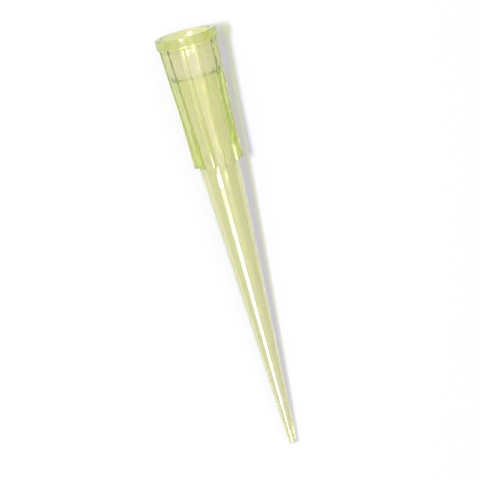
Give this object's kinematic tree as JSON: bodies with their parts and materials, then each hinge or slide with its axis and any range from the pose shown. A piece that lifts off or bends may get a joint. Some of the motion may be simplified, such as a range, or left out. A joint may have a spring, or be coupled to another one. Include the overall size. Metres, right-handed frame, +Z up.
{
  "type": "pipette tip",
  "caption": "Tapered translucent pipette tip with a collared mouth, stepped conical nozzle seat, long ribs with square ends and a fine orifice, lying on its side.",
  "frame": {"origin": "on the ground plane, under the middle of the tip as it lies", "axes": "+X along the tip from the mouth to the point, +Z up; the axis of the tip slopes down by 3.3 degrees towards the point"},
  "size_m": [0.051, 0.0074, 0.0074],
  "materials": {
    "polypropylene": "translucent pale yellow polypropylene, glossy as moulded, with a faint haze"
  },
  "bodies": {
    "root": {"pipette_tip": "polypropylene"}
  },
  "joints": []
}
